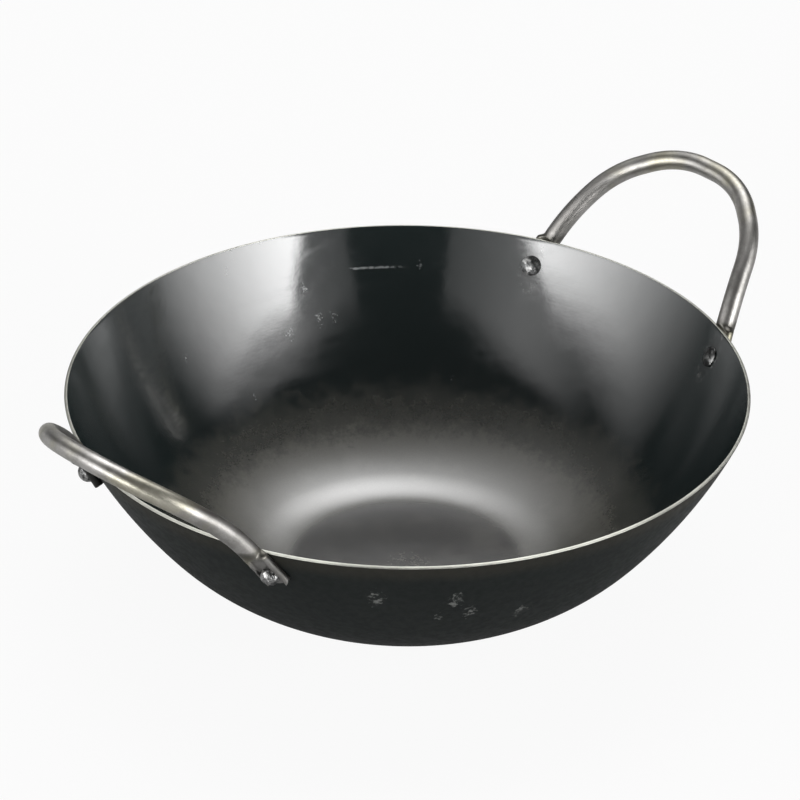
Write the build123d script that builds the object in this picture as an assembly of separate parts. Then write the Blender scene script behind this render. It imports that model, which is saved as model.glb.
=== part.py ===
from build123d import *
from math import acos, asin, cos, radians, sin, sqrt, tan
import os

# Bowl-shaped iron pan with two riveted pipe handles. Millimetres, +Z up.
# Origin: centre of the flat bottom that the pan stands on. The handles lie along X, the right one on +X.

# Bowl, spun from one sheet: a flat bottom, a tight heel arc round it, a lower arc up to the knee, and a flatter
# upper arc to the rim
rim_diameter = 330.0
sheet = 1.6
base_flat_diameter = 109.0
heel_arc_radius = 64.0
heel_slope_degrees = 22.5
lower_arc_radius = 128.0
knee_slope_degrees = 49.6
rim_slope_degrees = 65.2

# Handle pipe and the loop that it is bent to
pipe_diameter = 9.5
pipe_wall = 1.4
rivet_spacing = 126.0
rivet_drop = 12.5
foot_lean_degrees = 24.0
ankle_run = 32.5
loop_reach = 41.0
loop_rise = 45.0

# Bends of the loop, as shares of the rivet spacing, the reach and the rise
shoulder_half_width_share = 0.38
shoulder_reach_share = 0.54
shoulder_rise_share = 0.695
crown_half_width_share = 0.166
bend_share = 0.48
end_bend_share = 0.95

# Crushed foot: two layers of pipe wall with a raised bead down each side, and the rivet's head between them
crush_run = 15.5
step_run = 1.5
end_run = 6.8
end_corner = 2.0
bead_height = 2.0
bead_width = 1.8
seat_depth = 0.6

# Rivets
shank_diameter = 6.0
head_diameter = 10.0
head_lip = 0.8
outer_head_height = 5.0
inner_head_height = 1.8

# Clearances and the overrun of every cut
rivet_clearance = 0.1
pocket_clearance = 0.2
overrun = 5.0

# Worked out from the sizes above
rim_radius = rim_diameter / 2
base_flat_radius = base_flat_diameter / 2
heel_slope = radians(heel_slope_degrees)
knee_slope = radians(knee_slope_degrees)
rim_slope = radians(rim_slope_degrees)
lower_centre_r = base_flat_radius + (heel_arc_radius - lower_arc_radius) * sin(heel_slope)
lower_centre_z = heel_arc_radius - (heel_arc_radius - lower_arc_radius) * cos(heel_slope)
knee_radius = lower_centre_r + lower_arc_radius * sin(knee_slope)
upper_arc_radius = (rim_radius - knee_radius) / (sin(rim_slope) - sin(knee_slope))
upper_centre_r = rim_radius - upper_arc_radius * sin(rim_slope)
upper_centre_z = lower_centre_z + (upper_arc_radius - lower_arc_radius) * cos(knee_slope)
rim_height = upper_centre_z - upper_arc_radius * cos(rim_slope)
web_thickness = 2 * pipe_wall
foot_thickness = web_thickness + bead_height
pocket_width = head_diameter + 2 * pocket_clearance
foot_width = pocket_width + 2 * bead_width
hole_radius = shank_diameter / 2 + rivet_clearance


# Hole for a rivet's shank, square to the wall, through the sheet and the foot on it
def rivet_hole(foot):
    return foot.across_wall * Cylinder(hole_radius, 2 * (foot_thickness + sheet + overrun))


# One face of the bowl's wall, at a depth in from the outer face: flat, heel arc, lower arc and upper arc
def wall_line(depth):
    heel_centre = (base_flat_radius, heel_arc_radius)
    lower_centre = (lower_centre_r, lower_centre_z)
    upper_centre = (upper_centre_r, upper_centre_z)
    bottom_angle = -90
    heel_angle = bottom_angle + heel_slope_degrees
    knee_angle = bottom_angle + knee_slope_degrees
    lower_span = knee_slope_degrees - heel_slope_degrees
    upper_span = rim_slope_degrees - knee_slope_degrees
    return [
        Line((0, depth), (base_flat_radius, depth)),
        CenterArc(heel_centre, heel_arc_radius - depth, bottom_angle, heel_slope_degrees),
        CenterArc(lower_centre, lower_arc_radius - depth, heel_angle, lower_span),
        CenterArc(upper_centre, upper_arc_radius - depth, knee_angle, upper_span),
    ]


# Bowl: the sheet's section turned about Z, with the rivet holes of the given feet
def make_bowl(feet):
    outside = wall_line(0)
    inside = wall_line(sheet)
    axis_edge = Line((0, 0), (0, sheet))
    rim_edge = Line(outside[-1] @ 1, inside[-1] @ 1)
    section = make_face(outside + [rim_edge] + inside + [axis_edge])
    bowl = revolve(Plane.XZ * section, Axis.Z, 360)
    for foot in feet:
        bowl -= rivet_hole(foot)
    return bowl


# A foot's place on the outer wall of the +X side. side is 1 for the foot on +Y and -1 for the one on -Y.
class Foot:
    def __init__(self, side):
        height = rim_height - rivet_drop
        wall_radius = upper_centre_r + sqrt(upper_arc_radius**2 - (upper_centre_z - height) ** 2)
        slope = acos((upper_centre_z - height) / upper_arc_radius)
        turn = side * asin(rivet_spacing / 2 / wall_radius)
        radial = Vector(cos(turn), sin(turn), 0)
        inward = Vector(sin(turn), -cos(turn), 0) * side
        up = Vector(0, 0, 1)
        lean = radians(foot_lean_degrees)
        up_wall = radial * cos(slope) + up * sin(slope)
        self.normal = radial * sin(slope) - up * cos(slope)
        self.axis = up_wall * cos(lean) + inward * sin(lean)
        self.seat = radial * wall_radius + up * height
        sideways = self.normal.cross(self.axis)
        self.along = Plane(origin=self.seat, x_dir=sideways, z_dir=self.axis)
        self.across_wall = Plane(origin=self.seat, x_dir=-sideways, z_dir=self.normal)

    def pipe_point(self, run):
        return self.seat + self.normal * (foot_thickness / 2) + self.axis * run


# Section of the crushed pipe: flat with round sides, in the foot's along plane, wall side at -seat_depth
def flat_section():
    depth = foot_thickness + seat_depth
    middle = (foot_thickness - seat_depth) / 2
    return Pos(0, middle) * SlotOverall(foot_width, depth)


# The paddle from the crush line down to its square end below the rivet, which has rounded corners
def make_paddle(foot):
    length = crush_run + end_run
    bar = extrude(foot.along.offset(-end_run) * flat_section(), length)
    # Only the corners at the end are cut: the outline runs on past the crush line
    outline_length = length + 2 * end_corner + overrun
    outline_middle = outline_length / 2 - end_run
    outline = Pos(0, outline_middle) * RectangleRounded(foot_width, outline_length, end_corner)
    underside = foot.across_wall.offset(-seat_depth - overrun)
    paddle = bar & extrude(underside * outline, foot_thickness + seat_depth + 2 * overrun)
    pocket_length = length + overrun
    pocket = Pos(0, crush_run - pocket_length / 2) * Rectangle(pocket_width, pocket_length)
    pocket_floor = foot.across_wall.offset(web_thickness)
    return paddle - extrude(pocket_floor * pocket, foot_thickness + overrun)


# The short step from the flat section to the round pipe, lofted between matching wires of four edges
def make_step(foot):
    half_flat = (foot_thickness + seat_depth) / 2
    flat_middle = (foot_thickness - seat_depth) / 2
    half_line = foot_width / 2 - half_flat
    low, high = flat_middle - half_flat, flat_middle + half_flat
    flat_wire = Wire(
        [
            Line((-half_line, low), (half_line, low)),
            ThreePointArc((half_line, low), (foot_width / 2, flat_middle), (half_line, high)),
            Line((half_line, high), (-half_line, high)),
            ThreePointArc((-half_line, high), (-foot_width / 2, flat_middle), (-half_line, low)),
        ]
    )
    round_centre = (0, foot_thickness / 2)
    quarter = 90
    round_wire = Wire(
        [
            CenterArc(round_centre, pipe_diameter / 2, start, quarter)
            for start in (-135, -45, 45, 135)
        ]
    )
    lower = foot.along.offset(crush_run)
    upper = foot.along.offset(crush_run + step_run)
    return loft([lower * make_face(flat_wire), upper * make_face(round_wire)], ruled=True)


# Corner points of the loop's centreline on one side, from the end of the step to the crown
def loop_corners(foot, side):
    shoulder = Vector(
        rim_radius + loop_reach * shoulder_reach_share,
        side * rivet_spacing * shoulder_half_width_share,
        rim_height + loop_rise * shoulder_rise_share,
    )
    crown = Vector(
        rim_radius + loop_reach,
        side * rivet_spacing * crown_half_width_share,
        rim_height + loop_rise,
    )
    return [foot.pipe_point(crush_run + step_run), foot.pipe_point(ankle_run), shoulder, crown]


# Straight runs joined by tangent arcs, each arc as large as its two runs allow
def bent_path(corners):
    edges = []
    start = corners[0]
    last = len(corners) - 2
    for i in range(1, len(corners) - 1):
        back = corners[i - 1] - corners[i]
        ahead = corners[i + 1] - corners[i]
        back_share = end_bend_share if i == 1 else bend_share
        ahead_share = end_bend_share if i == last else bend_share
        tangent = min(back.length * back_share, ahead.length * ahead_share)
        back = back.normalized()
        ahead = ahead.normalized()
        half_turn = (radians(180) - acos(back.dot(ahead))) / 2
        radius = tangent / tan(half_turn)
        corner_to_arc = radius * (1 / cos(half_turn) - 1)
        middle = corners[i] + (back + ahead).normalized() * corner_to_arc
        arc_start = corners[i] + back * tangent
        arc_end = corners[i] + ahead * tangent
        edges.append(Line(start, arc_start))
        edges.append(ThreePointArc(arc_start, middle, arc_end))
        start = arc_end
    edges.append(Line(start, corners[-1]))
    return Wire(edges)


# Right handle: one hollow pipe bent to a loop, with both ends crushed to paddles on the wall
def make_handle(feet, bowl):
    rear, front = feet
    corners = loop_corners(rear, 1) + loop_corners(front, -1)[::-1]
    path = bent_path(corners)
    start = Plane(origin=corners[0], z_dir=path % 0)
    pipe = sweep(start * Circle(pipe_diameter / 2), path)
    bore = sweep(start * Circle(pipe_diameter / 2 - pipe_wall), path)
    handle = pipe
    for foot in feet:
        handle += make_paddle(foot)
        handle += make_step(foot)
    handle -= bore
    for foot in feet:
        handle -= rivet_hole(foot)
    return handle - bowl


# Rivet: shank through wall and foot, domed head in the foot's pocket and a low head inside the bowl
def make_rivet(foot, bowl):
    shank = shank_diameter / 2
    head = head_diameter / 2
    outer_seat = web_thickness
    outer_top = outer_seat + outer_head_height
    outer_lip = outer_seat + head_lip
    inner_seat = -sheet
    inner_top = inner_seat - inner_head_height
    inner_lip = inner_seat - head_lip
    section = make_face(
        [
            TangentArc((0, outer_top), (head, outer_lip), tangent=(1, 0)),
            Line((head, outer_lip), (head, outer_seat)),
            Line((head, outer_seat), (shank, outer_seat)),
            Line((shank, outer_seat), (shank, inner_seat)),
            Line((shank, inner_seat), (head, inner_seat)),
            Line((head, inner_seat), (head, inner_lip)),
            TangentArc((0, inner_top), (head, inner_lip), tangent=(1, 0)),
            Line((0, inner_top), (0, outer_top)),
        ]
    )
    rivet = revolve(Plane.XZ * section, Axis.Z, 360)
    return foot.across_wall * rivet - bowl


def write(shape, node):
    export_step(shape, f"parts/{node}.step")


os.makedirs("parts", exist_ok=True)
half_circle = Rot(0, 0, 180)
rear_foot = Foot(1)
front_foot = Foot(-1)
right_feet = [rear_foot, front_foot]
one_side = make_bowl(right_feet)
bowl = one_side & half_circle * one_side
right_handle = make_handle(right_feet, bowl)
rear_rivet = make_rivet(rear_foot, bowl)
front_rivet = make_rivet(front_foot, bowl)

write(bowl, "bowl")
write(right_handle, "right_handle")
write(rear_rivet, "right_rear_rivet")
write(front_rivet, "right_front_rivet")
write(half_circle * right_handle, "left_handle")
write(half_circle * front_rivet, "left_rear_rivet")
write(half_circle * rear_rivet, "left_front_rivet")

print(f"rim height {rim_height:.2f}, upper arc {upper_arc_radius:.1f}, foot width {foot_width:.1f}")
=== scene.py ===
from math import acos, asin, cos, degrees, hypot, pi, radians, sin, sqrt, tan

import bmesh
import bpy
from mathutils import Matrix, Quaternion, Vector, noise


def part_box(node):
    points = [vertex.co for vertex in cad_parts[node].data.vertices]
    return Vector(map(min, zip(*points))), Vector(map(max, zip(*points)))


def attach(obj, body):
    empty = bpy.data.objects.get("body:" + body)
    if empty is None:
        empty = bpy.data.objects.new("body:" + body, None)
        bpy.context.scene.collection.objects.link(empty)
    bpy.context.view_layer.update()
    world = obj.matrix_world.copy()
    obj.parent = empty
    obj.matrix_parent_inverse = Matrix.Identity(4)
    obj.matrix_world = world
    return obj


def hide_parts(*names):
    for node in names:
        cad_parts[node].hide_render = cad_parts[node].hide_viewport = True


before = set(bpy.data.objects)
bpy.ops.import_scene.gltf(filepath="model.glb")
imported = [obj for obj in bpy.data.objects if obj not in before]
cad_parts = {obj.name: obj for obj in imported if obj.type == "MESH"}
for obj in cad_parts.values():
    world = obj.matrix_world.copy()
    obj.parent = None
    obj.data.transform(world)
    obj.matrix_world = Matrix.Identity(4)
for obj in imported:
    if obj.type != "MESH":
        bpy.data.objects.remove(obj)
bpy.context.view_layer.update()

# Sizes in metres, the same as the CAD's
rim_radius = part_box("bowl")[1].x
sheet = 0.0016
base_flat_radius = 0.0545
heel_arc_radius = 0.064
heel_slope = radians(22.5)
lower_arc_radius = 0.128
knee_slope = radians(49.6)
rim_slope = radians(65.2)
pipe_radius = 0.00475
rivet_spacing = 0.126
rivet_drop = 0.0125
foot_lean = radians(24)
ankle_run = 0.0325
loop_reach = 0.041
loop_rise = 0.045
shoulder_half_width_share = 0.38
shoulder_reach_share = 0.54
shoulder_rise_share = 0.695
crown_half_width_share = 0.166
bend_share = 0.48
end_bend_share = 0.95
web_thickness = 0.0028
bead_height = 0.002
seat_depth = 0.0006
foot_half_width = 0.007
pocket_half_width = 0.0052
crush_run = 0.0155
step_run = 0.0015
end_run = 0.0068
end_corner = 0.002
shank_radius = 0.003
head_radius = 0.005
head_lip = 0.0008
outer_head_height = 0.005
inner_head_height = 0.0018

# Worked out from the sizes above
lower_centre_r = base_flat_radius + (heel_arc_radius - lower_arc_radius) * sin(heel_slope)
lower_centre_z = heel_arc_radius - (heel_arc_radius - lower_arc_radius) * cos(heel_slope)
knee_radius = lower_centre_r + lower_arc_radius * sin(knee_slope)
upper_arc_radius = (rim_radius - knee_radius) / (sin(rim_slope) - sin(knee_slope))
upper_centre_r = rim_radius - upper_arc_radius * sin(rim_slope)
upper_centre_z = lower_centre_z + (upper_arc_radius - lower_arc_radius) * cos(knee_slope)
rim_height = upper_centre_z - upper_arc_radius * cos(rim_slope)
foot_thickness = web_thickness + bead_height

# Details that only this model has: rounded edges, the softness of the foot's forms, and dents
rim_round = 0.00035
foot_round = 0.0002
crush_blend = 0.002
pocket_slope = 0.0005
pocket_end_run = 0.0045
foot_clearance = 0.00002
foot_dent_depth = 0.0002
foot_dent_scale = 330
foot_dent_shift = 1000
head_edge = 0.0001
hammer_depth = 0.0005
hammer_scale = 330
hammer_ridge = 0.5
inner_dent_depth = 0.0002
inner_dent_scale = 420

# Fineness of the meshes
bowl_segments = 360
outside_steps = (8, 16, 30, 30)
inside_steps = (8, 24, 40, 40)
rim_round_steps = 4
rim_flat_steps = 4
pipe_sides = 128
straight_step = 0.003
arc_step = 0.0016
least_arc_steps = 6
crown_steps = 4
crush_cut = 0.00025
crush_cuts = 14
paddle_cut = 0.0006
corner_cuts = 8
foot_round_cuts = 3
rivet_segments = 64
outer_dome_steps = 24
inner_dome_steps = 16
wall_tries = 4
tiny = 1e-6

UP = Vector((0, 0, 1))


# Node trees: one call adds a node, sets its options, and fills or links its inputs
class Tree:
    def __init__(self, owner):
        owner.use_nodes = True
        self.tree = owner.node_tree
        self.tree.nodes.clear()

    # An input is given by its name, with _ for a space, or as i and its number
    def add(self, kind, options=None, out=0, **inputs):
        node = self.tree.nodes.new("ShaderNode" + kind)
        for name, value in (options or {}).items():
            setattr(node, name, value)
        for name, value in inputs.items():
            key = int(name[1:]) if name[0] == "i" and name[1:].isdigit() else name.replace("_", " ")
            socket = node.inputs[key]
            if isinstance(value, bpy.types.NodeSocket):
                self.tree.links.new(value, socket)
            else:
                socket.default_value = value
        return node.outputs[out] if node.outputs else node

    def math(self, operation, a, b=0.0, c=0.0):
        return self.add("Math", {"operation": operation}, i0=a, i1=b, i2=c)

    def times(self, first, *others):
        for other in others:
            first = self.math("MULTIPLY", first, other)
        return first

    def plus(self, first, *others):
        for other in others:
            first = self.math("ADD", first, other)
        return first

    def minus(self, a, b):
        return self.math("SUBTRACT", a, b)

    # A value from 0 to 1 made to swing evenly about 0, over the given width
    def centred(self, value, width):
        return self.math("MULTIPLY_ADD", value, width, -width / 2)

    def vector(self, operation, a, out=0, **inputs):
        return self.add("VectorMath", {"operation": operation}, out=out, i0=a, **inputs)

    # The vector operations that give one value
    def measure(self, operation, a, **inputs):
        return self.vector(operation, a, out=1, **inputs)

    def ramp(self, value, low, high, to_low=0.0, to_high=1.0):
        return self.add(
            "MapRange", {"interpolation_type": "SMOOTHSTEP"},
            Value=value, From_Min=low, From_Max=high, To_Min=to_low, To_Max=to_high,
        )

    def noise(self, where, scale, detail=3.0, roughness=0.55, distortion=0.0):
        return self.add("TexNoise", Vector=where, Scale=scale, Detail=detail,
                        Roughness=roughness, Distortion=distortion)

    def noise_colour(self, where, scale):
        return self.add("TexNoise", out=1, Vector=where, Scale=scale)

    def mix(self, factor, a, b):
        return self.add("Mix", {"data_type": "RGBA"}, out=2, i0=factor, i6=a, i7=b)

    def blend(self, factor, a, b):
        return self.add("Mix", {"data_type": "FLOAT"}, i0=factor, i2=a, i3=b)

    def bump(self, height, strength, distance, normal=None):
        inputs = {"Height": height, "Strength": strength, "Distance": distance}
        if normal is not None:
            inputs["Normal"] = normal
        return self.add("Bump", **inputs)

    def surface(self, shader, kind="OutputMaterial"):
        self.add(kind, Surface=shader)

    def principled(self, colour, rough, normal, **constants):
        inputs = {"Base_Color": colour, "Roughness": rough, "Normal": normal, **constants}
        self.surface(self.add("BsdfPrincipled", **inputs))

    # The shaded point in the piece's own coordinates
    def point(self):
        return self.add("TexCoord", out=3)

    def parts(self, vector):
        return self.add("SeparateXYZ", Vector=vector).node.outputs[:3]

    # The point with Z dropped, and its distance from the pan's axis
    def from_axis(self, x, y):
        flat = self.add("CombineXYZ", X=x, Y=y, Z=0.0)
        return flat, self.measure("LENGTH", flat)


def material(name):
    made = bpy.data.materials.new(name)
    return made, Tree(made)


# Small worn marks, each given by its radius, its turn from +X in degrees and its size. Ragged is how far
# their edges stray
def marks(t, at, flat, spots, ragged):
    ragged_scale = 480.0
    core_share = 0.4
    shift = t.vector("SUBTRACT", t.noise_colour(at, ragged_scale), i1=(0.5, 0.5, 0.5))
    shift = t.vector("SCALE", shift, Scale=ragged)
    moved = t.vector("ADD", flat, i1=shift)
    total = 0.0
    for radius, turn, size in spots:
        centre = (radius * cos(radians(turn)), radius * sin(radians(turn)), 0.0)
        distance = t.measure("DISTANCE", moved, i1=centre)
        total = t.math("MAXIMUM", total, t.ramp(distance, size, size * core_share))
    return total


# Light specks high on the wall, and one long scratch round it
def wall_wear(t, at, x, y, flat, radius, grain):
    specks = marks(t, at, flat, [
        (0.163, 79.3, 0.0016), (0.163, 73.3, 0.0014), (0.159, 81.0, 0.0016), (0.150, 66.3, 0.0020),
        (0.142, 64.3, 0.0026), (0.142, 61.3, 0.0024), (0.139, 71.3, 0.0022), (0.143, 96.3, 0.0016),
        (0.123, 84.3, 0.0016), (0.122, 36.3, 0.0014), (0.138, 34.3, 0.0016), (0.154, 44.3, 0.0018),
    ], 0.006)
    specks = t.times(specks, t.ramp(grain, 0.45, 0.62))
    scratch_radius, scratch_width = 0.154, (0.00045, 0.0001)
    faint_end, sharp_end = (45.5, 51.5), (57.8, 57.2)
    turn = t.math("DEGREES", t.math("ARCTAN2", y, x))
    off = t.math("ABSOLUTE", t.minus(radius, scratch_radius))
    scratch = t.times(t.ramp(off, *scratch_width), t.ramp(grain, 0.36, 0.56))
    scratch = t.times(scratch, t.times(t.ramp(turn, *faint_end), t.ramp(turn, *sharp_end)))
    return t.math("MAXIMUM", specks, scratch)


# Each inner rivet head sits in a dark ring with pale scrapes round it and a dark smear below
def rivet_wear(t, at, flat, grain):
    seat = Foot().seat
    turn = degrees(asin(seat.y / hypot(seat.x, seat.y)))
    head_set_in = 0.0014
    ring_size, scrape_size = 0.0066, 0.0088
    smear_size, smear_drop = 0.0038, 0.0035
    radius = hypot(seat.x, seat.y) - head_set_in
    turns = (turn, -turn, 180 - turn, 180 + turn)
    ring = marks(t, at, flat, [(radius, a, ring_size) for a in turns], 0.0)
    smear = marks(t, at, flat, [(radius - smear_drop, a, smear_size) for a in turns], 0.004)
    scrape = t.minus(marks(t, at, flat, [(radius, a, scrape_size) for a in turns], 0.003), ring)
    scrape = t.times(scrape, t.ramp(grain, 0.50, 0.62))
    return t.math("MAXIMUM", ring, smear), scrape


# Seasoned iron inside the bowl: dark gloss on the wall, and a worn, hazy bottom with a speckled edge
def iron_inside():
    wall_colour = (0.0105, 0.0150, 0.0150, 1)
    haze_colour = (0.092, 0.089, 0.076, 1)
    speckle_colour = (0.085, 0.082, 0.070, 1)
    disc_colour = (0.024, 0.0225, 0.0225, 1)
    pore_colour = (0.006, 0.008, 0.008, 1)
    smear_colour = (0.13, 0.125, 0.11, 1)
    middle_colour = (0.12, 0.115, 0.1, 1)
    worn_colour = (0.21, 0.22, 0.22, 1)
    rivet_dark_colour = (0.005, 0.006, 0.006, 1)
    rivet_scrape_colour = (0.20, 0.20, 0.195, 1)
    inner_haze_edge = (0.1075, 0.0945)
    outer_haze_edge = (0.123, 0.111)
    inner_haze_share = 0.58
    disc_edge = (0.0600, 0.0530)
    middle_edge = (0.022, 0.008)
    wall_rough, haze_rough, disc_rough = 0.10, 0.225, 0.17

    made, t = material("seasoned_iron_inside")
    at = t.point()
    x, y, _ = t.parts(at)
    flat, radius = t.from_axis(x, y)
    cloud = t.noise(at, 32.0, 5.0, 0.6)
    grain = t.noise(at, 420.0, 4.0, 0.7)
    fine = t.noise(at, 1300.0, 2.0, 0.6)
    blotch = t.noise(at, 150.0, 5.0, 0.75)

    # The haze fades in two steps with ragged edges, round a darker disc
    wobble = t.plus(t.centred(cloud, 0.010), t.centred(blotch, 0.026))
    edge = t.plus(radius, wobble, t.centred(grain, 0.013))
    inner = t.ramp(edge, *inner_haze_edge)
    outer = t.ramp(edge, *outer_haze_edge)
    haze = t.plus(t.times(inner, inner_haze_share), t.times(outer, 1 - inner_haze_share))
    disc = t.ramp(radius, *disc_edge)
    speckle = t.ramp(grain, 0.48, 0.66)
    band = t.times(outer, t.minus(1.0, inner))
    smear = t.times(t.ramp(cloud, 0.48, 0.68), t.times(haze, 0.30))
    middle = t.ramp(t.plus(radius, t.centred(grain, 0.03)), *middle_edge)
    worn = wall_wear(t, at, x, y, flat, radius, grain)
    rivet_dark, rivet_scrape = rivet_wear(t, at, flat, grain)
    colour = t.mix(haze, wall_colour, haze_colour)
    colour = t.mix(t.times(speckle, band, 0.30), colour, speckle_colour)
    colour = t.mix(t.times(disc, 0.85), colour, disc_colour)
    colour = t.mix(t.times(fine, 0.25), colour, pore_colour)
    colour = t.mix(smear, colour, smear_colour)
    colour = t.mix(t.times(middle, speckle, 0.75), colour, middle_colour)
    colour = t.mix(t.times(worn, 0.6), colour, worn_colour)
    colour = t.mix(t.times(rivet_dark, 0.6), colour, rivet_dark_colour)
    colour = t.mix(t.times(rivet_scrape, 0.5), colour, rivet_scrape_colour)

    # Gloss: smoothest on the wall, with wiped streaks there
    wiped = t.vector("MULTIPLY", at, i1=(14.0, 38.0, 60.0))
    wiped = t.ramp(t.noise(wiped, 1.0, 6.0, 0.7, 1.2), 0.44, 0.62)
    wiped = t.times(wiped, t.minus(1.0, haze))
    rough = t.blend(disc, t.blend(haze, wall_rough, haze_rough), disc_rough)
    rough = t.plus(rough, t.times(wiped, 0.06), t.centred(fine, 0.04), t.times(worn, 0.3))

    # Relief: broad waves, small dimples outside the haze, spinning lines and pores
    lines = t.noise(t.vector("MULTIPLY", at, i1=(12.0, 12.0, 1500.0)), 1.0, 2.0, 0.6)
    dimples = t.times(t.noise(at, 60.0, 4.0, 0.6), t.math("MULTIPLY_ADD", inner, -0.8, 1.0))
    normal = t.bump(t.noise(at, 34.0, 2.0), 0.35, 0.0004)
    normal = t.bump(dimples, 0.16, 0.0004, normal)
    normal = t.bump(lines, 0.05, 0.0001, normal)
    normal = t.bump(fine, 0.05, 0.0001, normal)
    t.principled(colour, rough, normal, IOR=2.0)
    return made


# Seasoned iron outside: matt, nearly black, with a brown band under the rim and a few pale scuffs
def iron_outside():
    dark_colour, light_colour = (0.0080, 0.0100, 0.0098, 1), (0.0135, 0.0155, 0.0148, 1)
    brown_colour = (0.027, 0.025, 0.020, 1)
    scuff_colour = (0.11, 0.113, 0.108, 1)
    brown_edge = (0.1585, 0.1635)

    made, t = material("seasoned_iron_outside")
    at = t.point()
    x, y, _ = t.parts(at)
    flat, radius = t.from_axis(x, y)
    cloud = t.noise(at, 22.0, 5.0, 0.6)
    fine = t.noise(at, 260.0, 4.0, 0.65)
    brown = t.ramp(t.plus(radius, t.centred(cloud, 0.006)), *brown_edge)
    scuffs = marks(t, at, flat, [
        (0.1515, -138.7, 0.0045), (0.1409, -127.7, 0.0022), (0.1505, -124.7, 0.0040),
        (0.1431, -121.7, 0.0035), (0.1381, -110.7, 0.0040), (0.0898, 155.3, 0.0030),
        (0.0864, 155.3, 0.0034),
    ], 0.012)
    scuffs = t.times(scuffs, t.ramp(fine, 0.43, 0.55))
    colour = t.mix(cloud, dark_colour, light_colour)
    colour = t.mix(t.times(brown, 0.6), colour, brown_colour)
    colour = t.mix(scuffs, colour, scuff_colour)
    normal = t.bump(t.noise(at, 30.0, 2.0), 0.3, 0.0004)
    normal = t.bump(fine, 0.15, 0.0003, normal)
    t.principled(colour, t.ramp(fine, 0.3, 0.7, 0.45, 0.56), normal, IOR=1.16)
    return made


# Bare ground edge of the rim: dull, in brighter and darker stretches
def ground_rim():
    dark_colour, light_colour = (0.45, 0.45, 0.405, 1), (0.62, 0.62, 0.565, 1)
    stretch_colour = (0.18, 0.18, 0.16, 1)

    made, t = material("ground_rim")
    at = t.point()
    fine = t.noise(at, 600.0, 4.0, 0.65)
    stretch = t.ramp(t.noise(at, 16.0, 3.0, 0.6), 0.47, 0.65, 0.0, 0.45)
    colour = t.mix(stretch, t.mix(fine, dark_colour, light_colour), stretch_colour)
    t.principled(colour, t.ramp(fine, 0.3, 0.7, 0.35, 0.5), t.bump(fine, 0.3, 0.0002), Metallic=1.0)
    return made


# Satin pipe steel: mottled grey, with a straw tint towards the feet. The feet have dark scale, and on the
# rear left one painted shade darkens the scale to black
def pipe_steel():
    dark_colour, light_colour = (0.31, 0.302, 0.288, 1), (0.50, 0.488, 0.472, 1)
    straw_colour = (0.42, 0.39, 0.225, 1)
    pore_colour = (0.16, 0.152, 0.140, 1)
    scale_colour = (0.13, 0.128, 0.122, 1)
    crease_shade_colour = (0.050, 0.047, 0.036, 1)
    rear_left_shade_colour = (0.015, 0.015, 0.015, 1)
    leg_heights = (0.126, 0.106)
    scale_edge = (rim_height + 0.0045, rim_height + 0.0015)
    crease_shade_edge = (rim_height - 0.002, rim_height + 0.0005)

    made, t = material("satin_pipe_steel")
    at = t.point()
    x, y, z = t.parts(at)
    fine = t.noise(at, 700.0, 4.0, 0.7)
    cloud = t.noise(at, 70.0, 5.0, 0.65)
    broad = t.noise(at, 24.0, 3.0, 0.6)
    leg = t.ramp(z, *leg_heights)
    straw = t.times(t.ramp(broad, 0.50, 0.62), t.math("MULTIPLY_ADD", leg, 0.45, 0.35))
    edge = t.plus(z, t.centred(cloud, 0.006))
    scale = t.ramp(edge, *scale_edge)
    # Painted shade: a dark band round the pipe just above rim height, where it meets the crushed step
    crease_shade = t.times(scale, t.ramp(edge, *crease_shade_edge))
    shaded_rear_left = t.times(t.math("GREATER_THAN", y, 0.0), t.math("LESS_THAN", x, 0.0))
    colour = t.mix(t.ramp(cloud, 0.35, 0.65), dark_colour, light_colour)
    colour = t.mix(straw, colour, straw_colour)
    colour = t.mix(t.times(fine, 0.35), colour, pore_colour)
    colour = t.mix(t.times(scale, 0.5), colour, scale_colour)
    colour = t.mix(t.times(crease_shade, 0.6), colour, crease_shade_colour)
    # Painted shade: the rear left foot's scale turned nearly black
    colour = t.mix(t.times(scale, shaded_rear_left, 0.94), colour, rear_left_shade_colour)
    normal = t.bump(t.noise(at, 160.0, 3.0), 0.12, 0.0003)
    normal = t.bump(fine, 0.15, 0.0002, normal)
    t.principled(colour, t.ramp(fine, 0.3, 0.7, 0.34, 0.44), normal, Metallic=1.0)
    return made


# Hammered rivet steel: dark, scuffed bright in places
def hammered_steel():
    dark_colour, bright_colour = (0.075, 0.076, 0.076, 1), (0.34, 0.34, 0.335, 1)

    made, t = material("hammered_steel")
    at = t.point()
    fine = t.noise(at, 500.0, 4.0, 0.65)
    cloud = t.noise(at, 260.0, 4.0, 0.6)
    colour = t.mix(t.ramp(cloud, 0.44, 0.62), dark_colour, bright_colour)
    normal = t.bump(fine, 0.2, 0.0002, t.bump(cloud, 0.35, 0.0005))
    t.principled(colour, t.ramp(fine, 0.3, 0.7, 0.26, 0.42), normal, Metallic=1.0)
    return made


def make_object(name, bm, materials, node):
    mesh = bpy.data.meshes.new(name)
    bmesh.ops.recalc_face_normals(bm, faces=bm.faces)
    bm.to_mesh(mesh)
    bm.free()
    for face in mesh.polygons:
        face.use_smooth = True
    for each in materials:
        mesh.materials.append(each)
    piece = bpy.data.objects.new(name, mesh)
    bpy.context.scene.collection.objects.link(piece)
    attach(piece, "root")
    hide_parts(node)


# Rings of vertices joined by quads; a ring of one vertex is a pole
def join_rings(bm, rings, material_index=0):
    for lower, upper in zip(rings, rings[1:]):
        count = max(len(lower), len(upper))
        for i in range(count):
            j = (i + 1) % count
            corners = [lower[i % len(lower)], lower[j % len(lower)]]
            corners += [upper[j % len(upper)], upper[i % len(upper)]]
            unique = list(dict.fromkeys(corners))
            if len(unique) > 2:
                bm.faces.new(unique).material_index = material_index


def around(count):
    return [2 * pi * i / count for i in range(count)]


def quarter(steps):
    return [pi / 2 * k / steps for k in range(steps + 1)]


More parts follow.
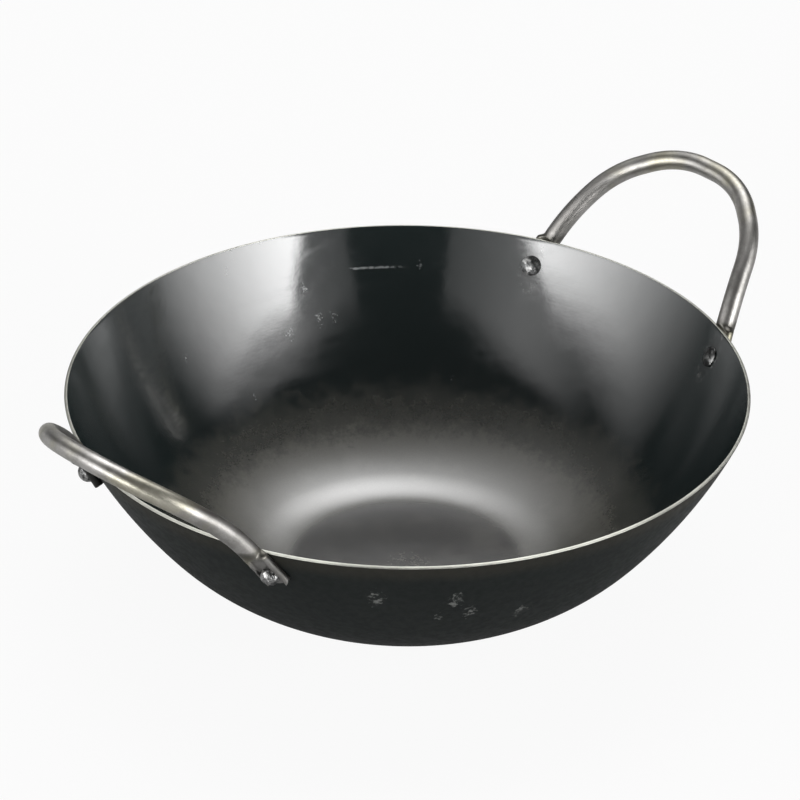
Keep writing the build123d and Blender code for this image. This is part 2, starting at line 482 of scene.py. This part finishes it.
# Section of the bowl's wall at a given depth inside its outer face: radius and height, from the middle out
def wall_profile(depth, flat_steps, heel_steps, lower_steps, upper_steps):
    arcs = [
        (base_flat_radius, heel_arc_radius, heel_arc_radius, 0.0, heel_slope, heel_steps),
        (lower_centre_r, lower_centre_z, lower_arc_radius, heel_slope, knee_slope, lower_steps),
        (upper_centre_r, upper_centre_z, upper_arc_radius, knee_slope, rim_slope, upper_steps),
    ]
    points = [(base_flat_radius * i / flat_steps, depth) for i in range(flat_steps)]
    for centre_r, centre_z, arc_radius, start, end, steps in arcs:
        for i in range(steps):
            a = start + (end - start) * i / steps
            r = arc_radius - depth
            points.append((centre_r + r * sin(a), centre_z - r * cos(a)))
    r = upper_arc_radius - depth
    points.append((upper_centre_r + r * sin(rim_slope), upper_centre_z - r * cos(rim_slope)))
    return points


# Section of the rim: square to the wall, with both edges rounded, from the outer face to the inner one
def rim_profile(outer_end):
    along = Vector((cos(rim_slope), sin(rim_slope)))
    across = Vector((-sin(rim_slope), cos(rim_slope)))
    flat_width = sheet - 2 * rim_round
    points = [(1 - sin(a), rim_round * (1 - cos(a))) for a in quarter(rim_round_steps)]
    points += [(0, rim_round + flat_width * k / rim_flat_steps) for k in range(1, rim_flat_steps)]
    points += [(1 - cos(a), sheet - rim_round * (1 - sin(a))) for a in quarter(rim_round_steps)]
    return [outer_end - along * rim_round * down + across * inwards for down, inwards in points]


def ring_at(bm, radius, height):
    if radius < tiny:
        return [bm.verts.new((0, 0, height))]
    return [bm.verts.new((radius * cos(a), radius * sin(a), height)) for a in around(bowl_segments)]


def make_bowl(materials):
    bm = bmesh.new()
    outside = wall_profile(0, *outside_steps)
    inside = wall_profile(sheet, *inside_steps)
    rim = rim_profile(Vector(outside[-1]))
    outer_rings = [ring_at(bm, *p) for p in outside[:-1] + [rim[0]]]
    rim_rings = [outer_rings[-1]] + [ring_at(bm, *p) for p in rim[1:]]
    inner_rings = [ring_at(bm, *p) for p in inside[:-1]] + [rim_rings[-1]]
    join_rings(bm, outer_rings, material_index=1)
    join_rings(bm, rim_rings, material_index=2)
    join_rings(bm, inner_rings, material_index=0)
    make_object("bowl_spun", bm, materials, "bowl")


# A foot's place on the outer wall of the +X side, on +Y
class Foot:
    def __init__(self):
        height = rim_height - rivet_drop
        wall_radius = upper_centre_r + sqrt(upper_arc_radius**2 - (upper_centre_z - height) ** 2)
        slope = acos((upper_centre_z - height) / upper_arc_radius)
        turn = asin(rivet_spacing / 2 / wall_radius)
        radial = Vector((cos(turn), sin(turn), 0))
        inward = Vector((sin(turn), -cos(turn), 0))
        up_wall = radial * cos(slope) + UP * sin(slope)
        self.normal = radial * sin(slope) - UP * cos(slope)
        self.axis = up_wall * cos(foot_lean) + inward * sin(foot_lean)
        self.seat = radial * wall_radius + UP * height
        self.sideways = self.normal.cross(self.axis)

    def point(self, x, y, z):
        return self.seat + self.sideways * x + self.normal * y + self.axis * z

    # How far out along the foot's normal the wall's outer face is at (x, z)
    def wall(self, x, z):
        y = 0.0
        for _ in range(wall_tries):
            p = self.point(x, y, z)
            r = sqrt(p.x**2 + p.y**2)
            off = Vector((r - upper_centre_r, p.z - upper_centre_z))
            out = Vector((p.x / r * off.x, p.y / r * off.x, off.y)) / off.length
            y -= (off.length - upper_arc_radius) / out.dot(self.normal)
        return y


def smooth(value, low, high):
    t = min(1.0, max(0.0, (value - low) / (high - low)))
    return t * t * (3 - 2 * t)


# Centreline of the loop from the end of the step to the crown: straight runs joined by tangent arcs
def loop_centreline(foot):
    shoulder = Vector((
        rim_radius + loop_reach * shoulder_reach_share,
        rivet_spacing * shoulder_half_width_share,
        rim_height + loop_rise * shoulder_rise_share,
    ))
    crown = Vector((
        rim_radius + loop_reach,
        rivet_spacing * crown_half_width_share,
        rim_height + loop_rise,
    ))
    other_crown = Vector((crown.x, -crown.y, crown.z))
    middle = foot_thickness / 2
    step_end = foot.point(0, middle, crush_run + step_run)
    ankle = foot.point(0, middle, ankle_run)
    corners = [step_end, ankle, shoulder, crown, other_crown]
    points = [step_end]
    for i in range(1, len(corners) - 1):
        back = corners[i - 1] - corners[i]
        ahead = corners[i + 1] - corners[i]
        back_share = end_bend_share if i == 1 else bend_share
        tangent = min(back.length * back_share, ahead.length * bend_share)
        back.normalize()
        ahead.normalize()
        half_turn = (pi - acos(back.dot(ahead))) / 2
        radius = tangent / tan(half_turn)
        centre = corners[i] + (back + ahead).normalized() * (radius / cos(half_turn))
        arc_start = corners[i] + back * tangent
        start = arc_start - centre
        end = corners[i] + ahead * tangent - centre
        first = points[-1]
        pieces = max(1, round((arc_start - first).length / straight_step))
        points += [first.lerp(arc_start, k / pieces) for k in range(1, pieces)]
        turn = 2 * half_turn
        steps = max(least_arc_steps, round(radius * turn / arc_step))
        for k in range(steps + 1):
            swing = start * sin(turn * (1 - k / steps)) + end * sin(turn * k / steps)
            points.append(centre + swing / sin(turn))
    last = points[-1]
    crown_middle = Vector((crown.x, 0, crown.z))
    points += [last.lerp(crown_middle, k / crown_steps) for k in range(1, crown_steps + 1)]
    return points


# Section of the foot across its axis: round pipe above the step, and below it a crushed web between raised
# beads. Inset draws the section in all round
def foot_section_point(foot, t, along, inset):
    flatness = smooth(along, crush_run + step_run, crush_run - crush_blend)
    half_depth = (foot_thickness + seat_depth) / 2
    middle = (foot_thickness - seat_depth) / 2
    into_corner = min(end_corner, max(0.0, end_corner - end_run - along))
    half_width = foot_half_width - end_corner + sqrt(end_corner**2 - into_corner**2)
    x = (half_width - inset) * cos(t)
    edge = max(0.0, (abs(x) - (foot_half_width - half_depth)) / half_depth)
    round_off = sqrt(max(0.0, 1 - edge * edge))
    if sin(t) >= 0:
        pocket = smooth(abs(x), pocket_half_width + pocket_slope, pocket_half_width - pocket_slope)
        pocket *= bead_height * smooth(along, crush_run - pocket_slope, crush_run - pocket_end_run)
        where = Vector((x, along, 0)) * foot_dent_scale + foot.seat * foot_dent_shift
        dent = noise.noise(where) * foot_dent_depth * flatness
        y = middle + half_depth * round_off - pocket + dent - inset
    else:
        wall = foot.wall(x, along) + foot_clearance
        y = max(middle - half_depth * round_off, wall) + inset
    round_x = pipe_radius * cos(t)
    round_y = foot_thickness / 2 + pipe_radius * sin(t)
    x = x * flatness + round_x * (1 - flatness)
    y = y * flatness + round_y * (1 - flatness)
    return foot.point(x, y, along)


# The pipe's rings, from the crown down to the step
def pipe_rings(bm, foot):
    line = loop_centreline(foot)
    x_axis = foot.sideways.copy()
    frames = []
    for i, p in enumerate(line):
        ahead = line[min(i + 1, len(line) - 1)] - line[max(i - 1, 0)]
        if i == 0:
            ahead = foot.axis.copy()
        if i == len(line) - 1:
            ahead = Vector((0, -1, 0))
        ahead.normalize()
        x_axis = (x_axis - ahead * x_axis.dot(ahead)).normalized()
        frames.append((p, x_axis, ahead.cross(x_axis)))
    return [
        [bm.verts.new(p + (x_axis * cos(a) + y_axis * sin(a)) * pipe_radius) for a in around(pipe_sides)]
        for p, x_axis, y_axis in reversed(frames[1:])
    ]


# The rings of the step, the paddle and its square end
def foot_rings(bm, foot):
    corner_start = end_corner - end_run
    cuts = [crush_run + step_run - crush_cut * i for i in range(crush_cuts)]
    while cuts[-1] - paddle_cut > corner_start:
        cuts.append(cuts[-1] - paddle_cut)
    cuts += [corner_start - end_corner * sin(a) for a in quarter(corner_cuts)[:-1]]
    sections = [(along, 0.0) for along in cuts]
    for a in quarter(foot_round_cuts):
        sections.append((-end_run + foot_round * (1 - sin(a)), foot_round * (1 - cos(a))))
    return [
        [bm.verts.new(foot_section_point(foot, a, along, inset)) for a in around(pipe_sides)]
        for along, inset in sections
    ]


def make_handle(side, name, node, materials):
    bm = bmesh.new()
    foot = Foot()
    rings = pipe_rings(bm, foot) + foot_rings(bm, foot)
    join_rings(bm, rings)
    # The foot's end face, in strips
    last = rings[-1]
    for k in range(pipe_sides // 2):
        corners = [last[k], last[k + 1], last[-(k + 1) % pipe_sides], last[-k % pipe_sides]]
        bm.faces.new(list(dict.fromkeys(corners)))
    # The other half of the loop
    copied = bmesh.ops.duplicate(bm, geom=bm.verts[:] + bm.edges[:] + bm.faces[:])["geom"]
    copied = [g for g in copied if isinstance(g, bmesh.types.BMVert)]
    bmesh.ops.transform(bm, matrix=Matrix.Diagonal((1, -1, 1, 1)), verts=copied)
    bmesh.ops.remove_doubles(bm, verts=bm.verts, dist=tiny)
    if side < 0:
        bmesh.ops.rotate(bm, verts=bm.verts, cent=(0, 0, 0), matrix=Matrix.Rotation(pi, 3, "Z"))
    make_object(name, bm, materials, node)


# A rivet head's dome from its middle out: (radius, drop below its top)
def dome(height, steps):
    sphere = (head_radius**2 + height**2) / 2 / height
    radii = [head_radius * sin(a) for a in quarter(steps)]
    return [(r, sphere - sqrt(sphere**2 - r * r)) for r in radii]


# Hammer marks: dents with ridges between them on the outer head, and shallow ones on the inner head
def hammered(p, offset):
    if p.y > web_thickness + head_edge:
        nearest, second = noise.voronoi(p * hammer_scale + offset)[0][:2]
        inwards = (Vector((0, web_thickness, 0)) - p).normalized()
        return p + inwards * hammer_depth * smooth(second - nearest, 0.0, hammer_ridge)
    if p.y < -sheet - head_edge:
        dent = inner_dent_depth * abs(noise.noise(p * inner_dent_scale + offset))
        return p + Vector((0, dent, 0))
    return p


# Rivet: hammered dome in the pocket, shank, and low head inside the bowl
def make_rivet(x_side, y_side, name, node, materials):
    bm = bmesh.new()
    foot = Foot()
    top = web_thickness + outer_head_height
    bottom = -sheet - inner_head_height
    profile = [(r, top - drop) for r, drop in dome(outer_head_height - head_lip, outer_dome_steps)]
    profile += [(head_radius, web_thickness), (shank_radius, web_thickness)]
    profile += [(shank_radius, -sheet), (head_radius, -sheet)]
    inner_dome = dome(inner_head_height - head_lip, inner_dome_steps)
    profile += [(r, bottom + drop) for r, drop in reversed(inner_dome)]
    # Each rivet has its own marks
    offset = Vector((x_side * 7, y_side * 11, 3))
    rings = []
    for r, y in profile:
        ring = []
        for a in around(1 if r < tiny else rivet_segments):
            p = hammered(Vector((r * cos(a), y, r * sin(a))), offset)
            ring.append(bm.verts.new(foot.point(p.x, p.y, p.z)))
        rings.append(ring)
    join_rings(bm, rings)
    bmesh.ops.transform(bm, matrix=Matrix.Diagonal((x_side, y_side, 1, 1)), verts=bm.verts)
    make_object(name, bm, materials, node)


iron = [iron_inside(), iron_outside(), ground_rim()]
steel = [pipe_steel()]
rivet_steel = [hammered_steel()]
make_bowl(iron)
sides = ((1, "right"), (-1, "left"))
for side, side_name in sides:
    make_handle(side, f"{side_name}_loop_handle", f"{side_name}_handle", steel)
for side, side_name in sides:
    for end, end_name in ((1, "rear"), (-1, "front")):
        place = f"{side_name}_{end_name}"
        make_rivet(side, end, f"{place}_hammered_rivet", f"{place}_rivet", rivet_steel)

# Camera: from the front left of the row, at the photograph's angle
camera_azimuth = radians(-43.73)
camera_elevation = radians(30.03)
camera_distance = 3.365
camera_roll = radians(0.424)
camera_lens = 315
camera_sensor = 36
camera_sight = 50
aim_right = -0.00353
aim_up = -0.0050


def make_camera():
    data = bpy.data.cameras.new("camera")
    data.lens = camera_lens
    data.sensor_width = camera_sensor
    data.clip_end = camera_sight
    camera = bpy.data.objects.new("camera", data)
    bpy.context.scene.collection.objects.link(camera)
    bpy.context.scene.camera = camera
    toward = Vector((
        sin(camera_azimuth) * cos(camera_elevation),
        -cos(camera_azimuth) * cos(camera_elevation),
        sin(camera_elevation),
    ))
    rim_centre = Vector((0, 0, rim_height))
    camera.location = rim_centre + toward * camera_distance
    right = UP.cross(toward).normalized()
    aim = rim_centre + right * aim_right + toward.cross(right) * aim_up
    level = (aim - camera.location).to_track_quat("-Z", "Y")
    camera.rotation_mode = "QUATERNION"
    camera.rotation_quaternion = level @ Quaternion((0, 0, 1), camera_roll)


# Round light that fades out from its middle. Lights are placed in degrees: their turn from the camera,
# positive to its right, and their elevation
def soft_lobe(w, direction, turn, elevation, width, height, radiance):
    a = radians(turn) + camera_azimuth - pi / 2
    e = radians(elevation)
    centre = Vector((cos(a) * cos(e), sin(a) * cos(e), sin(e)))
    across = Vector((-sin(a), cos(a), 0))
    upward = centre.cross(across)
    u = w.measure("DOT_PRODUCT", direction, i1=across / width)
    v = w.measure("DOT_PRODUCT", direction, i1=upward / height)
    ahead = w.measure("DOT_PRODUCT", direction, i1=centre)
    square = w.plus(w.times(u, u), w.times(v, v))
    lobe = w.math("EXPONENT", w.times(square, -1.0))
    return w.times(lobe, w.math("GREATER_THAN", ahead, 0.0), radiance)


# Side panel: a sharp slanting inner edge, fading outwards and over its top. Side is 1 on the right and -1
# on the left. Inner is the edge's turn at inner_elevation, and the radiance is reached at full_turn
def side_panel(w, turn, elevation, side, inner, slant, far, power, top, radiance):
    inner_elevation, full_turn, edge_blur = 18, 45, 2.5
    turn = w.times(turn, float(side))
    slide = w.math("MULTIPLY_ADD", elevation, slant, inner - slant * inner_elevation)
    panel = w.ramp(w.minus(turn, slide), -edge_blur, edge_blur)
    share = w.math("DIVIDE", w.minus(far, turn), far - full_turn)
    share = w.math("POWER", w.math("MAXIMUM", share, 0.0), power)
    return w.times(panel, share, w.ramp(elevation, top[1], top[0]), radiance)


# Pale surroundings behind the panels, open where the camera stands
def pale_walls(w, turn, elevation):
    gap_middle, gap_edge = 3.2, (16.6, 18.0)
    near_top, far_top, top_blur = 37.5, 42.5, 4.0
    fade = (105.0, 50.0)
    off = w.math("ABSOLUTE", w.minus(turn, gap_middle))
    near = w.ramp(off, *gap_edge)
    level = w.add("MapRange", Value=off, From_Min=17.0, From_Max=47.0, To_Min=0.3, To_Max=0.85)
    top = w.ramp(off, 17.0, 50.0, near_top, far_top)
    low = w.ramp(w.minus(elevation, top), top_blur, -top_blur)
    return w.times(w.times(near, level), w.times(low, w.ramp(off, *fade)))


# A dim low band on the right, which the far handle's legs stand dark against in the left wall
def low_band(w, turn, elevation):
    near_edge, far_edge, top_edge = (96.0, 104.0), (140.0, 128.0), (18.0, 14.0)
    radiance = 0.22
    band = w.times(w.ramp(turn, *near_edge), w.ramp(turn, *far_edge))
    return w.times(band, w.ramp(elevation, *top_edge, 0.0, radiance))


# Studio light: soft panels in the world, which the camera sees as plain white
def studio():
    everywhere = 0.02
    world = bpy.data.worlds.new("studio")
    bpy.context.scene.world = world
    w = Tree(world)
    direction = w.add("TexCoord", out=0)
    x, y, z = w.parts(direction)
    angle = w.plus(w.math("ARCTAN2", y, x), pi / 2 - camera_azimuth)
    turn = w.math("DEGREES", w.math("WRAP", angle, pi, -pi))
    elevation = w.math("DEGREES", w.math("ARCSINE", z))
    right = side_panel(w, turn, elevation, side=1, inner=35.8, slant=0.65, far=107.5, power=1.8,
                       top=(28.5, 38), radiance=7.2)
    left = side_panel(w, turn, elevation, side=-1, inner=39.6, slant=1.4, far=130, power=2.0,
                      top=(19, 33), radiance=6.6)
    behind = soft_lobe(w, direction, turn=165, elevation=57, width=0.27, height=0.28, radiance=5.2)
    beside = soft_lobe(w, direction, turn=196, elevation=60, width=0.36, height=0.37, radiance=2.2)
    total = w.plus(right, left, pale_walls(w, turn, elevation), behind, beside,
                   low_band(w, turn, elevation), everywhere)
    seen = w.add("LightPath").node.outputs["Is Camera Ray"]
    light = w.add("Background", Color=(1, 1, 1, 1), Strength=w.blend(seen, total, 1.0))
    w.surface(light, "OutputWorld")


# Floor: pale, nearly white to the camera, with the object's shadow kept
def make_floor():
    half_width = 12.0
    height = -0.0001
    grey = 0.55
    camera_white, mirror_white = 0.93, 0.1
    mesh = bpy.data.meshes.new("floor")
    corners = [(x * half_width, y * half_width, height) for x, y in ((-1, -1), (1, -1), (1, 1), (-1, 1))]
    mesh.from_pydata(corners, [], [(0, 1, 2, 3)])
    floor = bpy.data.objects.new("floor", mesh)
    bpy.context.scene.collection.objects.link(floor)
    made, t = material("pale_floor")
    rays = t.add("LightPath").node.outputs
    mirrored = t.math("MAXIMUM", rays["Is Glossy Ray"], rays["Is Transmission Ray"])
    mirrored = t.times(mirrored, mirror_white)
    white_share = t.math("MAXIMUM", t.times(rays["Is Camera Ray"], camera_white), mirrored)
    diffuse = t.add("BsdfDiffuse", Color=(grey, grey, grey, 1))
    white = t.add("Emission", Color=(1, 1, 1, 1), Strength=1.0)
    t.surface(t.add("MixShader", i0=white_share, i1=diffuse, i2=white))
    mesh.materials.append(made)


make_camera()
studio()
make_floor()
bpy.context.scene.view_settings.view_transform = "Standard"
